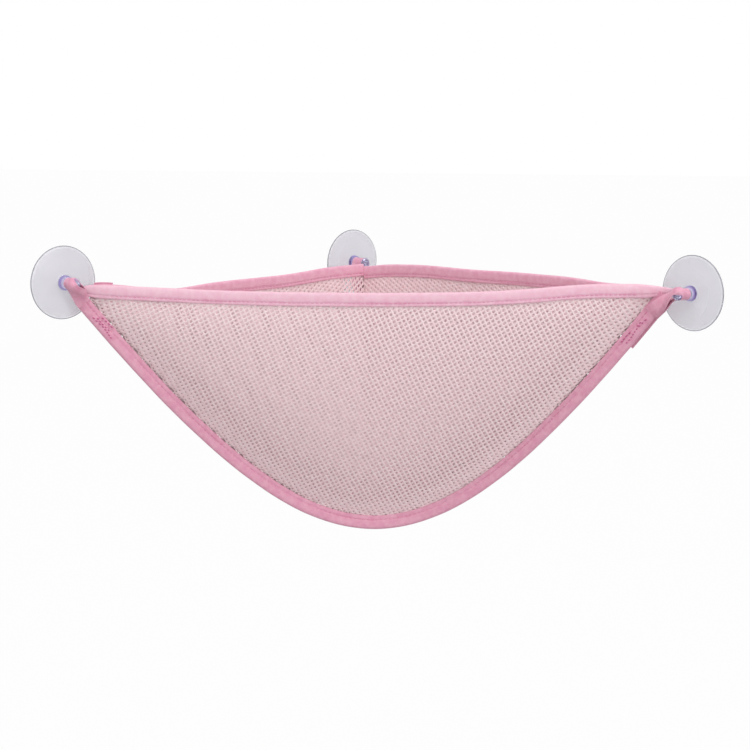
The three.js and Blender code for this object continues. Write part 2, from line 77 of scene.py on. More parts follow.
MM = 0.001
STEP = 1e-4
UP = np.array((0.0, 0.0, 1.0))
DIAGONAL = math.sqrt(0.5)
LEFT_WALL = {
    "along": np.array((-DIAGONAL, -DIAGONAL, 0)), "off": np.array((DIAGONAL, -DIAGONAL, 0)),
}
RIGHT_WALL = {
    "along": np.array((DIAGONAL, -DIAGONAL, 0)), "off": np.array((-DIAGONAL, -DIAGONAL, 0)),
}


# Vectors
def unit(a):
    return a / np.linalg.norm(a, axis=-1, keepdims=True)


def dot(a, b):
    return (a * b).sum(-1)[..., None]


def across(direction, tangent):
    return unit(direction - tangent * dot(direction, tangent))


def mix(a, b, share):
    return a + (b - a) * np.asarray(share, float)[..., None]


def smooth(t):
    t = np.clip(t, 0, 1)
    return t * t * (3 - 2 * t)


def on_wall(wall, along, off, height):
    return wall["along"] * along + wall["off"] * off + UP * height


# Shape of the bag, by the same formulas as the solids
def loop_hang(wall, drop):
    turn = math.radians(drop)
    return -wall["along"] * math.cos(turn) - UP * math.sin(turn)


def seam_drop(w):
    side = 2 * np.asarray(w, float) - 1
    place = side - SEAM_SKEW * (1 - side * side)
    rim = math.hypot(1, SEAM_ROUNDNESS)
    return (rim - np.hypot(place, SEAM_ROUNDNESS)) / (rim - SEAM_ROUNDNESS)


def hanging(a, b, w):
    return mix(a, b, w) + seam_drop(w)[..., None] * np.array((0, BAG_SETBACK, -BAG_DROP))


left_reach = LEFT_LOOP_LENGTH + TIP_RADIUS + LEFT_TIP_CLEARANCE
right_reach = RIGHT_LOOP_LENGTH + TIP_RADIUS + RIGHT_TIP_CLEARANCE
left_tape_end = (on_wall(LEFT_WALL, LEFT_CUP_ALONG, LOOP_MIDDLE, 0)
                 + loop_hang(LEFT_WALL, LEFT_LOOP_DROP) * left_reach)
right_tape_end = (on_wall(RIGHT_WALL, RIGHT_CUP_ALONG, LOOP_MIDDLE, 0)
                  + loop_hang(RIGHT_WALL, RIGHT_LOOP_DROP) * right_reach)


def seam_end(tape_end, w, inner):
    way = hanging(left_tape_end, right_tape_end, inner) - hanging(left_tape_end, right_tape_end, w)
    return tape_end + across(UP, unit(way)) * SEAM_ALLOWANCE / 2


left_corner = seam_end(left_tape_end, 0, STEP)
right_corner = seam_end(right_tape_end, 1, 1 - STEP)
back_corner = on_wall(LEFT_WALL, BACK_CORNER_ALONG, BACK_CORNER_OFF, -BACK_CORNER_DROP)


def seam(w):
    return hanging(left_corner, right_corner, w)


def hem_end(corner, towards, rise):
    way = towards - corner
    way[2] = 0
    return corner + unit(way) * CORNER_SETBACK + UP * rise


def sagging(a, b, sag, share):
    share = np.asarray(share, float)
    return mix(a, b, share) - (4 * sag * share * (1 - share))[..., None] * UP


def rise_and_fall(share, bumps):
    share = np.asarray(share, float)
    lift = sum(height * np.exp(-((share - at) / wide) ** 2) for height, at, wide in bumps)
    return lift[..., None] * UP


front_hem_left = hem_end(left_corner, right_corner, LEFT_CORNER_RISE)
front_hem_right = hem_end(right_corner, left_corner, RIGHT_CORNER_RISE)
left_hem_start = hem_end(left_corner, back_corner, LEFT_CORNER_RISE)
right_hem_start = hem_end(right_corner, back_corner, RIGHT_CORNER_RISE)
pitch = math.radians(BACK_SWELL_PITCH)
back_swell = BACK_SWELL * np.array((0, math.cos(pitch), -math.sin(pitch)))


def back_panel_swell(wall, share):
    bow = (4 * SIDE_SWELL * share * (1 - share))[..., None]
    return back_swell * (share * share)[..., None] - wall["off"] * bow


def front_swell(w):
    return (4 * FRONT_SWELL * w * (1 - w))[..., None] * np.array((0, -1.0, 0))


# Each panel: its span of the bottom seam, the sign of its outer face, its hem's length, its hem and
# swell along the seam, its place there for a share from its outer corner, and the part of the seam
# beyond which its hem runs straight on
FRONT = {
    "span": (0, 1), "outward": -1, "length": np.linalg.norm(front_hem_right - front_hem_left),
    "hem": lambda w: (sagging(front_hem_left, front_hem_right, FRONT_SAG, w)
                      + rise_and_fall(w, FRONT_BUMPS)),
    "swell": front_swell, "place": lambda share: share, "steady": (0.035, 0.965),
}
LEFT = {
    "span": (0, BACK_SEAM_AT), "outward": 1,
    "length": np.linalg.norm(back_corner - left_hem_start),
    "hem": lambda w: (sagging(left_hem_start, back_corner, LEFT_SAG, w / BACK_SEAM_AT)
                      + rise_and_fall(w / BACK_SEAM_AT, LEFT_BUMPS)),
    "swell": lambda w: back_panel_swell(LEFT_WALL, w / BACK_SEAM_AT),
    "place": lambda share: share * BACK_SEAM_AT, "steady": (0.03, BACK_SEAM_AT),
}
RIGHT = {
    "span": (BACK_SEAM_AT, 1), "outward": -1,
    "length": np.linalg.norm(back_corner - right_hem_start),
    "hem": lambda w: (sagging(right_hem_start, back_corner, RIGHT_SAG, (1 - w) / (1 - BACK_SEAM_AT))
                      + rise_and_fall((1 - w) / (1 - BACK_SEAM_AT), RIGHT_BUMPS)),
    "swell": lambda w: back_panel_swell(RIGHT_WALL, (1 - w) / (1 - BACK_SEAM_AT)),
    "place": lambda share: 1 - share * (1 - BACK_SEAM_AT), "steady": (BACK_SEAM_AT, 0.97),
}


def panel_point(panel, w, v):
    w, v = np.broadcast_arrays(np.asarray(w, float), np.asarray(v, float))
    return mix(panel["hem"](w), seam(w), v) + panel["swell"](w) * (4 * v * (1 - v))[..., None]


def along_seam(panel, w, v):
    low, high = panel["span"]
    before, after = np.maximum(low, np.asarray(w) - STEP), np.minimum(high, np.asarray(w) + STEP)
    return unit(panel_point(panel, after, v) - panel_point(panel, before, v))


def down_panel(panel, w, v):
    before, after = np.maximum(0, np.asarray(v) - STEP), np.minimum(1, np.asarray(v) + STEP)
    return unit(panel_point(panel, w, after) - panel_point(panel, w, before))


def panel_normal(panel, w, v):
    sign = -1 if panel is FRONT else 1
    return unit(np.cross(along_seam(panel, w, v), down_panel(panel, w, v))) * sign


def panel_depth(panel, w):
    return np.maximum(np.linalg.norm(panel["hem"](w) - seam(w), axis=-1), TAPE_WIDTH + 2)


def seam_frame(w):
    w = np.asarray(w, float)
    tangent = along_seam(FRONT, w, 1.0)
    back = np.where((w <= BACK_SEAM_AT)[..., None],
                    down_panel(LEFT, np.minimum(w, BACK_SEAM_AT), 1.0),
                    down_panel(RIGHT, np.maximum(w, BACK_SEAM_AT), 1.0))
    out = unit(across(down_panel(FRONT, w, 1.0), tangent) + across(back, tangent))
    return seam(w), out, unit(np.cross(out, tangent)), tangent


def back_seam_frame(v):
    v = np.asarray(v, float)
    at = np.full(v.shape, BACK_SEAM_AT)
    tangent = down_panel(LEFT, at, v)
    middle = unit(panel_normal(LEFT, at, v) + panel_normal(RIGHT, at, v))
    out = across(mix(-LEFT_WALL["off"] + 0 * middle, middle, v), tangent)
    face = unit(np.cross(tangent, out))
    face = np.where(dot(face, LEFT_WALL["along"]) < 0, -face, face)
    return panel_point(LEFT, at, v), out, face, tangent


# Meshes
def facing_out(verts, faces):
    volume = 0
    for size in {len(f) for f in faces}:
        some = np.array([f for f in faces if len(f) == size])
        for k in range(1, size - 1):
            a, b, c = verts[some[:, 0]], verts[some[:, k]], verts[some[:, k + 1]]
            volume += (a * np.cross(b, c)).sum()
    return faces if volume > 0 else [f[::-1] for f in faces]


def add_piece(name, verts, faces, body, material, nodes=(), cloth=None, sharp=None):
    mesh = bpy.data.meshes.new(name)
    mesh.from_pydata((np.asarray(verts) * MM).tolist(), [], faces)
    mesh.polygons.foreach_set("use_smooth", np.ones(len(mesh.polygons), bool))
    if cloth is not None:
        layer = mesh.attributes.new("cloth", "FLOAT_VECTOR", "POINT")
        layer.data.foreach_set("vector", np.asarray(cloth, np.float32).ravel())
    if sharp is not None:
        mesh.set_sharp_from_angle(angle=math.radians(sharp))
    mesh.update()
    piece = bpy.data.objects.new(name, mesh)
    bpy.context.scene.collection.objects.link(piece)
    mesh.materials.append(material)
    if body:
        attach(piece, body)
    if nodes:
        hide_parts(*nodes)
    return piece


def tube(sections):
    """Closed mesh through sections of points, each section a closed ring, with flat ends."""
    n, m = sections.shape[:2]
    ring = np.arange(m)
    faces = []
    for i in range(n - 1):
        a, b = i * m + ring, i * m + (ring + 1) % m
        faces.extend(np.stack([a, b, b + m, a + m], 1).tolist())
    faces.append(list(range(m))[::-1])
    faces.append(list(range((n - 1) * m, n * m)))
    verts = sections.reshape(-1, 3)
    return verts, facing_out(verts, faces)


def slab(top, bottom):
    """Closed mesh between two grids of points."""
    n, m = top.shape[:2]
    index = np.arange(n * m).reshape(n, m)
    low = index + n * m
    faces = np.stack([index[:-1, :-1], index[1:, :-1], index[1:, 1:], index[:-1, 1:]], -1)
    under = np.stack([low[:-1, 1:], low[1:, 1:], low[1:, :-1], low[:-1, :-1]], -1)
    rim = np.concatenate([index[:-1, 0], index[-1, :-1], index[:0:-1, -1], index[0, :0:-1]])
    after = np.roll(rim, -1)
    walls = np.stack([after, rim, rim + n * m, after + n * m], -1)
    faces = faces.reshape(-1, 4).tolist() + under.reshape(-1, 4).tolist() + walls.tolist()
    verts = np.concatenate([top.reshape(-1, 3), bottom.reshape(-1, 3)])
    return verts, facing_out(verts, faces)


def grid_normals(grid):
    return unit(np.cross(np.gradient(grid, axis=0), np.gradient(grid, axis=1)))


def lengths(points):
    return np.concatenate([[0], np.cumsum(np.linalg.norm(np.diff(points, axis=0), axis=1))])


# Materials
# Depths of the painted highlight at a hem's fold; side and depths of the painted shade inside the back
# nets
FOLD_HIGHLIGHT, INNER_SIDE, BELOW_HEM = (2.5, 8.5), (0.3, 0.9), (14, 38)
# A cup's pale ring inside its rim is a painted highlight, and the grey along the rim's edge painted
# shade
HAZE, PALE_HAZE, LIP_HIGHLIGHT = (0.775, 0.765, 0.81), (0.80, 0.79, 0.835), (0.86, 0.86, 0.89)
RIM_SHADE, STEM_TINT, BOSS_VIOLET = (0.32, 0.32, 0.38), (0.66, 0.61, 0.87), (0.26, 0.20, 0.56)


def nodes_of(name):
    material = bpy.data.materials.new(name)
    material.use_nodes = True
    tree = material.node_tree
    return material, tree, tree.nodes["Principled BSDF"]


def put(tree, socket, value):
    """Links another node's output to a socket, or gives the socket a plain value."""
    if hasattr(value, "is_output"):
        tree.links.new(value, socket)
    else:
        socket.default_value = value


def fill(tree, node, values):
    for key, value in values.items():
        if key in node.inputs:
            put(tree, node.inputs[key], value)
        else:
            setattr(node, key, value)


def add_node(tree, kind, **values):
    node = tree.nodes.new(kind)
    fill(tree, node, values)
    return node


def maths(tree, operation, *values):
    node = add_node(tree, "ShaderNodeMath", operation=operation)
    for socket, value in zip(node.inputs, values):
        put(tree, socket, value)
    return node.outputs[0]


def noise(tree, place, **values):
    return add_node(tree, "ShaderNodeTexNoise", Vector=place, **values).outputs["Fac"]


def blend_colour(tree, share, a, b):
    node = add_node(tree, "ShaderNodeMix", data_type="RGBA")
    for socket, value in ((0, share), (6, a), (7, b)):
        put(tree, node.inputs[socket], (*value, 1) if isinstance(value, tuple) else value)
    return node.outputs[2]


def ranged(tree, value, low, high, to_low=0, to_high=1):
    node = add_node(tree, "ShaderNodeMapRange", interpolation_type="SMOOTHSTEP")
    fill(tree, node, {"Value": value, "From Min": low, "From Max": high, "To Min": to_low,
                      "To Max": to_high})
    return node.outputs["Result"]


def cloth_material(name, colour, deep, pale, thread, rough, sheen, fold_highlight=0, inside=None):
    """Cloth of threads both ways, mottled and fuzzy, on the attribute cloth: along, across and side, in
    millimetres. thread: their pitch; fold_highlight: how much paler it is at a fold, a painted highlight
    of the light from above; inside: the colour of painted shade on a net's inner face, away from its
    hem, where the bag is shaded inside."""
    material, tree, shader = nodes_of(name)
    place = add_node(tree, "ShaderNodeAttribute", attribute_name="cloth").outputs["Vector"]
    waves = []
    for way in "XY":
        wave = add_node(tree, "ShaderNodeTexWave", bands_direction=way, Vector=place,
                        Scale=math.pi / (10 * thread), Distortion=0.6, Detail=1.0)
        wave.inputs["Detail Scale"].default_value = 0.5
        waves.append(wave.outputs["Fac"])
    weave = maths(tree, "MULTIPLY", *waves)
    soft = noise(tree, place, Scale=0.22, Detail=4.0, Roughness=0.6)
    fuzz = noise(tree, place, Scale=3.1, Detail=3.0)
    mottled = blend_colour(tree, ranged(tree, soft, 0.32, 0.68), deep, colour)
    lit = blend_colour(tree, ranged(tree, weave, 0.15, 0.85, to_high=0.55), mottled, pale)
    _, down, side = add_node(tree, "ShaderNodeSeparateXYZ", Vector=place).outputs
    # Painted highlight: paler towards the fold at the hem's top, where the light from above falls
    if fold_highlight:
        lit = blend_colour(tree, ranged(tree, down, *FOLD_HIGHLIGHT, to_high=fold_highlight), lit, pale)
    # Painted shade: the net's inner face darker below the hem, where the bag is shaded inside
    if inside:
        inner = maths(tree, "MULTIPLY", ranged(tree, side, *INNER_SIDE), ranged(tree, down, *BELOW_HEM))
        lit = blend_colour(tree, inner, lit, inside)
    height = maths(tree, "MULTIPLY_ADD", fuzz, 0.5, weave)
    bump = add_node(tree, "ShaderNodeBump", Strength=0.45, Distance=0.00015, Height=height)
    fill(tree, shader, {
        "Base Color": lit, "Normal": bump.outputs["Normal"], "Roughness": rough,
        "Specular IOR Level": 0.25, "Sheen Weight": sheen, "Sheen Roughness": 0.5,
        "Sheen Tint": (*pale, 1),
    })
    return material


def cup_material():
    """Hazy clear vinyl, with a painted highlight ring just inside the rim and painted shade along the
    rim's
    edge: the attribute cloth holds the radius and the height from the wall.
    """
    material, tree, shader = nodes_of("clear_vinyl")
    place = add_node(tree, "ShaderNodeAttribute", attribute_name="cloth").outputs["Vector"]
    radius, height, _ = add_node(tree, "ShaderNodeSeparateXYZ", Vector=place).outputs
    colour = blend_colour(tree, noise(tree, place, Scale=0.05, Detail=2.0), HAZE, PALE_HAZE)
    # Painted highlight: a pale ring just inside the rim; painted shade: grey along the rim's edge
    lip = ranged(tree, radius, CUP_RADIUS - 1.9, CUP_RADIUS - 1.2)
    rim = ranged(tree, radius, CUP_RADIUS - 0.8, CUP_RADIUS - 0.3)
    stem = ranged(tree, height, CUP_CROWN + 0.1, CUP_CROWN + 0.9)
    past_head = ranged(tree, radius, HEAD_RADIUS - 0.3, HEAD_RADIUS + 0.5)
    boss = maths(tree, "MULTIPLY", stem, past_head)
    for share, tint in ((lip, LIP_HIGHLIGHT), (rim, RIM_SHADE), (stem, STEM_TINT), (boss, BOSS_VIOLET)):
        colour = blend_colour(tree, share, colour, tint)
    ripple = noise(tree, place, Scale=0.3, Detail=1.0)
    bump = add_node(tree, "ShaderNodeBump", Strength=0.05, Distance=0.0001, Height=ripple)
    fill(tree, shader, {
        "Base Color": colour, "Roughness": ranged(tree, ripple, 0.3, 0.7, 0.08, 0.16),
        "Normal": bump.outputs["Normal"], "Transmission Weight": 0.72, "IOR": 1.35,
    })
    return material


TAPE_LOOK = {"thread": 0.45, "rough": 0.88, "sheen": 0.3}
NET_LOOK = {"thread": 0.3, "rough": 0.8, "sheen": 0.2}
THREAD_LOOK = {"thread": 0.25, "rough": 0.7, "sheen": 0.15}
tape_cloth = cloth_material("pink_tape", colour=(0.78, 0.39, 0.51), deep=(0.71, 0.29, 0.42),
                            pale=(0.87, 0.56, 0.655), **TAPE_LOOK)
# Paler copies of the pink tape for the hems: painted light and sheen from above, palest on the front hem
top_lit_hem_cloth = cloth_material("front_hem_tape_lit_from_above", colour=(0.86, 0.52, 0.63), deep=(0.80, 0.40, 0.53),
                           pale=(0.94, 0.68, 0.765), fold_highlight=0.35, **TAPE_LOOK)
top_lit_back_hem_cloth = cloth_material("back_hem_tape_lit_from_above", colour=(0.86, 0.47, 0.59), deep=(0.80, 0.36, 0.50),
                                pale=(0.94, 0.65, 0.74), **TAPE_LOOK)
net_cloth = cloth_material("pink_net", colour=(0.96, 0.76, 0.785), deep=(0.92, 0.68, 0.71),
                           pale=(0.99, 0.87, 0.885), **NET_LOOK)
# A shade darker than the front net, painted shade, and with painted shade on its inner face below the
# hem
shaded_back_net_cloth = cloth_material("back_pink_net_shaded", colour=(0.94, 0.73, 0.755), deep=(0.89, 0.64, 0.67),
                                pale=(0.98, 0.84, 0.86), inside=(0.77, 0.59, 0.615), **NET_LOOK)
thread_cloth = cloth_material("pink_thread", colour=(0.77, 0.33, 0.48), deep=(0.69, 0.26, 0.41),
                              pale=(0.86, 0.45, 0.58), **THREAD_LOOK)
tack_cloth = cloth_material("deep_pink_thread", colour=(0.58, 0.14, 0.31), deep=(0.48, 0.09, 0.24),
                            pale=(0.70, 0.24, 0.40), **THREAD_LOOK)
vinyl = cup_material()


# Net: a lattice of threads on the bias, with a slanting eight-sided hole in each cell
HOLE_SLANT, HOLE_POINTS = -62, 8
EDGE_UNDER_TAPE, EDGE_STEP_OVER = 5, 0.8
DEEPEST, KNOT_RISE = 220, 0.08
STRETCH_ALONG, STRETCH_FADE_ALONG, STRETCH_DOWN, STRETCH_FADE_DOWN = 25, 9, 30, 10
STRETCH_THINNING = 0.4
GATHER_WIDTH, GATHER_FADE, GATHER_CLOSING = 17, 15, 0.45


def net_place(panel, p, q):
    """The point of a panel at p along from its outer corner and q down from its hem."""
    share = np.clip(p / panel["length"], 0, 1)
    w = panel["place"](share)
    depth = panel_depth(panel, w)
    v = np.clip(q / depth, 0, 1)
    point = panel_point(panel, w, v)
    _, out, _, _ = seam_frame(w)
    point = point + out * np.maximum(q - depth, 0)[..., None]
    if panel is not FRONT:
        _, back_out, _, _ = back_seam_frame(v)
        past = np.maximum(p - panel["length"], 0)
        run = np.minimum(past, EDGE_STEP_OVER) if panel is LEFT else 0 * past
        point = point + along_seam(panel, w, v) * run[..., None]
        point = point + back_out * (past - run)[..., None]
    return point


def net_normal(panel, p, q):
    step = 0.3
    along = net_place(panel, p + step, q) - net_place(panel, p - step, q)
    down = net_place(panel, p, q + step) - net_place(panel, p, q - step)
    return unit(np.cross(along, down)) * panel["outward"]


def thread_way(angle, step):
    turn = math.radians(angle)
    return np.array((math.cos(turn), math.sin(turn))) * step


def net_faces(keep, cells, corners, holes, under):
    """Faces of both sides, in the holes and along the net's edge. keep: the grid of cells kept; cells:
    their places in it; corners, holes: point numbers by cell; under: from upper to lower numbers."""
    faces = []
    order = ((1, 1), (0, 1), (0, 0), (1, 0))
    for k, corner in enumerate(order):
        near, far = holes[:, 2 * k], holes[:, 2 * k + 1]
        past_hole = holes[:, (2 * k + 2) % HOLE_POINTS]
        tri = np.stack([corners[corner], far, near], 1)
        quad = np.stack([corners[corner], corners[order[(k + 1) % 4]], past_hole, far], 1)
        faces += tri.tolist() + quad.tolist()
        faces += (tri[:, ::-1] + under).tolist() + (quad[:, ::-1] + under).tolist()
    for k in range(HOLE_POINTS):
        here, there = holes[:, k], holes[:, (k + 1) % HOLE_POINTS]
        faces += np.stack([here, there, there + under, here + under], 1).tolist()
    padded = np.pad(keep, 1)
    sides = (((0, 1), (1, 1), (0, 1)), ((0, 0), (0, 1), (-1, 0)), ((1, 0), (0, 0), (0, -1)),
             ((1, 1), (1, 0), (1, 0)))
    for start, end, way in sides:
        open_side = ~padded[cells[0] + 1 + way[0], cells[1] + 1 + way[1]]
        here, there = corners[start][open_side], corners[end][open_side]
        faces += np.stack([here, there, there + under, here + under], 1).tolist()
    return faces


def net_piece(name, panel, node, first, second, hole, half_thick, loose, material):
    """first and second: angle down from the hem and step of the two thread ways; hole: its half axes;
    loose: how much wider the holes get towards the back seam, where the net is stretched.
    Along the bottom seam the net is gathered, and its holes close up."""
    a, b = thread_way(*first), thread_way(*second)

    def on_cloth(i, j):
        return i * a[0] + j * b[0], i * a[1] + j * b[1]

    def depth_at(p):
        return panel_depth(panel, panel["place"](np.clip(p / panel["length"], 0, 1)))

    def stretched(p, q):
        along = smooth((p - panel["length"] + STRETCH_ALONG) / STRETCH_FADE_ALONG)
        return along * smooth((STRETCH_DOWN - q) / STRETCH_FADE_DOWN)

    def gathered(p, q):
        slope = (depth_at(p + 1) - depth_at(p - 1)) / 2
        return smooth((GATHER_WIDTH - (depth_at(p) - q) / np.hypot(1, slope)) / GATHER_FADE)

    # Lattice points, and the cells that lie wholly on the panel
    past = 0 if panel is FRONT else EDGE_UNDER_TAPE - 1
    bounds = np.array([(p, q) for p in (0, panel["length"] + past) for q in (0, DEEPEST)])
    inverse = np.linalg.inv(np.stack([a, b], 1))
    reach = bounds @ inverse.T
    low, high = np.floor(reach.min(0)).astype(int), np.ceil(reach.max(0)).astype(int)
    steps = (np.arange(start, end + 1) for start, end in zip(low, high))
    i, j = np.meshgrid(*steps, indexing="ij")
    p, q = on_cloth(i, j)
    inside = (p > 1) & (p < panel["length"] + past - (1 if panel is FRONT else 0))
    inside &= (q > 1) & (q < depth_at(p) + EDGE_UNDER_TAPE)
    keep = inside[:-1, :-1] & inside[1:, :-1] & inside[1:, 1:] & inside[:-1, 1:]
    ci, cj = np.nonzero(keep)
    used = np.zeros(i.shape, bool)
    corner_steps = ((0, 0), (1, 0), (1, 1), (0, 1))
    for di, dj in corner_steps:
        used[ci + di, cj + dj] = True
    number = np.full(i.shape, -1)
    number[used] = np.arange(used.sum())

    # Holes, as rings of points round the middles of the cells
    turn = np.radians(22.5 + 45 * np.arange(HOLE_POINTS))
    slant = math.radians(HOLE_SLANT)
    axes = np.array(((math.cos(slant), -math.sin(slant)), (math.sin(slant), math.cos(slant))))
    axes = axes * hole
    around = np.stack([np.cos(turn), np.sin(turn)])
    around = around / np.linalg.norm(np.linalg.inv(inverse @ axes) @ around, axis=0)
    mi, mj = i[ci, cj] + 0.5, j[ci, cj] + 0.5
    mp, mq = on_cloth(mi, mj)
    wide = (1 + loose * stretched(mp, mq)) * (1 - GATHER_CLOSING * gathered(mp, mq))
    hi, hj = (m[:, None] + ring * wide[:, None] for m, ring in zip((mi, mj), around))
    hp, hq = (x.ravel() for x in on_cloth(hi, hj))

    # Upper and lower points of all these, thicker at the knots
    allp, allq = np.concatenate([p[used], hp]), np.concatenate([q[used], hq])
    knots, rims = np.full(used.sum(), half_thick + KNOT_RISE), np.full(len(hp), half_thick)
    half = np.concatenate([knots, rims])
    half = half * (1 - STRETCH_THINNING * loose * stretched(allp, allq))
    base, normal = net_place(panel, allp, allq), net_normal(panel, allp, allq)
    top = base + normal * (NET_MIDDLE + half)[:, None]
    bottom = base + normal * (NET_MIDDLE - half)[:, None]
    verts = np.concatenate([top, bottom])
    cloth = np.stack([np.tile(allp, 2), np.tile(allq, 2), np.repeat((0.0, 1.0), len(allp))], 1)
    corners = {k: number[ci + k[0], cj + k[1]] for k in corner_steps}
    holes = used.sum() + np.arange(len(ci) * HOLE_POINTS).reshape(-1, HOLE_POINTS)
    faces = facing_out(verts, net_faces(keep, (ci, cj), corners, holes, len(allp)))
    return add_piece(name, verts, faces, "bag", material, [node], cloth)


front_net = net_piece("front_net", FRONT, "front_mesh_panel", first=(-30, 3.19), second=(67, 2.79),
                      hole=(1.3, 0.88), half_thick=0.32, loose=0, material=net_cloth)
BACK_KNIT = {"first": (-34, 3.1), "second": (60, 2.9), "hole": (0.62, 0.42), "half_thick": 0.6}
left_net = net_piece("left_back_net", LEFT, "left_back_mesh_panel", loose=0.9, material=shaded_back_net_cloth,
                     **BACK_KNIT)
right_net = net_piece("right_back_net", RIGHT, "right_back_mesh_panel", loose=0, material=shaded_back_net_cloth,
                      **BACK_KNIT)


# Folded tape: one section round both faces of both legs, pressed in along the stitches
STITCH, STITCH_GAP = 2.5, 0.6
GROOVE_WIDTH, CROWN_HEIGHT, EDGE_TUCK = 0.55, 0.12, 0.25
WOBBLE_WAVES = ((0.30, 21.0, 1.0), (0.18, 9.3, 2.1), (0.10, 4.1, 3.3))
WOBBLE_OFF_PLANE, WOBBLE_OF_EDGE, EDGE_SEED = 0.5, 0.25, 1.7
PUCKER_HEIGHT, PUCKER_WIDTH = 0.09, 2.2


def tape_section(width, fold, thick, press_at, press, edge):
    """Points as (depth from the fold line, offset from the middle plane), a closed ring. fold: half the
    gap between the legs; press: depth of the groove; edge: offset of the cut edge's outer face."""
    full = fold + thick
    by_the_edge = [width, width - 0.15, width - 0.8]
    depths = np.concatenate([by_the_edge, np.linspace(width - 1.6, 0.6, 13)])
    groove = press * np.exp(-((depths - press_at) / GROOVE_WIDTH) ** 2)
    crown = CROWN_HEIGHT * np.sin(np.pi * np.clip(depths / press_at, 0, 1))
    outer = full - groove + crown - (full - edge) * smooth((depths - press_at) / (width - press_at))
    outer[0] -= EDGE_TUCK
    turn = np.linspace(0, np.pi, 11)[1:-1]
    arc = np.stack([-full * np.sin(turn), full * np.cos(turn)], 1)
    inner_turn = np.linspace(0, np.pi, 7)
    inner = np.stack([-fold * np.sin(inner_turn), -fold * np.cos(inner_turn)], 1)
    front = np.stack([depths, outer], 1)
    back = np.stack([depths[::-1], -outer[::-1]], 1)
    return np.concatenate([front, arc, back, [[width, -fold]], inner, [[width, fold]]])


def wobble(s, seed):
    return sum(high * np.sin(s / long + shift * seed) for high, long, shift in WOBBLE_WAVES)


def pucker(s, depth, press_at):
    near = np.exp(-((depth - press_at) / PUCKER_WIDTH) ** 2)
    return PUCKER_HEIGHT * near * np.sin(2 * np.pi * s / (STITCH + STITCH_GAP))


def tape_piece(name, place, count, span, section, press_at, node, seed, material):
    """place(w, depth, offset) gives the point of the tape; depth is measured from the fold."""
    w = np.linspace(span[0], span[1], count)
    line = place(w, np.full(count, press_at), np.zeros(count))
    s = lengths(line)
    depth, offset = section[:, 0], section[:, 1]
    w2, d2 = np.broadcast_arrays(w[:, None], depth[None, :])
    side = np.sign(offset)[None, :]
    o2 = offset[None, :] + side * pucker(s[:, None], d2, press_at)
    o2 = o2 + wobble(s, seed)[:, None] * WOBBLE_OFF_PLANE
    d2 = d2 + WOBBLE_OF_EDGE * wobble(s, seed + EDGE_SEED)[:, None]
    verts, faces = tube(place(w2, d2, o2))
    girth = lengths(np.c_[section, np.zeros(len(section))])
    cloth = np.stack(np.broadcast_arrays(s[:, None], girth[None, :], 0.0), -1).reshape(-1, 3)
    return add_piece(name, verts, faces, "bag", material, [node], cloth, sharp=70)


RUN_ON_FREE, RUN_ON_FADE, RUN_ON_DIP = 6, 22, 0.003
RUN_ON_NARROWING, RUN_ON_THINNING = 0.45, 0.3


def hem_place(panel):
    """Near its outer corners a hem runs on and narrows, dipping a little, in behind the loops."""
    def place(w, depth, offset):
        steady = np.clip(w, *panel["steady"])
        flat = np.zeros(np.shape(w))
        run = (panel["hem"](steady + STEP) - panel["hem"](steady - STEP)) / (2 * STEP)
        run = run * (w - steady)[..., None]
        beyond = np.linalg.norm(run, axis=-1)
        narrow = smooth((beyond - RUN_ON_FREE) / RUN_ON_FADE)
        dip = UP * (RUN_ON_DIP * beyond ** 2)[..., None]
        depth = depth * (1 - RUN_ON_NARROWING * narrow)
        offset = offset * (1 - RUN_ON_THINNING * narrow)
        first_step = panel_point(panel, steady, flat + STEP) - panel_point(panel, steady, flat)
        v = np.maximum(depth, 0) * STEP / np.linalg.norm(first_step, axis=-1)
        lift = -down_panel(panel, steady, flat) * np.maximum(-depth, 0)[..., None]
        out = panel_normal(panel, steady, v) * (NET_MIDDLE + offset)[..., None]
        return panel_point(panel, steady, v) + out + lift + run - dip
    return place


def seam_place(frame_at):
    def place(w, depth, offset):
        origin, out, face, _ = frame_at(w)
        return origin + out * (SEAM_ALLOWANCE - depth)[..., None] + face * offset[..., None]
    return place


HEM_WIDTH, HEM_PRESS, SEAM_PRESS = 7.8, 5.6, 4.6
HEM_SECTION = tape_section(HEM_WIDTH, fold=0.7, thick=0.8, press_at=HEM_PRESS, press=0.34, edge=1.25)
SEAM_SECTION = tape_section(SEAM_ALLOWANCE - 1.45, fold=1.25, thick=0.75, press_at=SEAM_PRESS,
                            press=0.34, edge=1.75)
BACK_TAPE_TOP, BACK_TAPE_END = -13, 0.99
BACK_SLANT, SLANT_FROM, SLANT_FADE = 0.5, 0.93, 0.06


def hem_piece(name, panel, node, count, span, seed, material):
    return tape_piece(name, hem_place(panel), count, span, HEM_SECTION, HEM_PRESS, node, seed, material)


def seam_piece(name, place, node, count, span, seed):
    return tape_piece(name, place, count, span, SEAM_SECTION, SEAM_PRESS, node, seed, tape_cloth)


def back_seam_at(height):
    """The share of the way down the back seam at which it is at this height."""
    v = np.linspace(0, 1, 400)
    return v[np.argmin(np.abs(back_seam_frame(v)[0][:, 2] - height))]


def back_place(v, depth, offset):
    """The back seam's tape, its lower end on a slant where the bottom seam catches it."""
    slant = BACK_SLANT * smooth((v - SLANT_FROM) / SLANT_FADE) * (SEAM_ALLOWANCE - depth)
    return seam_place(back_seam_frame)(v, depth, offset) + back_seam_frame(v)[3] * slant[..., None]


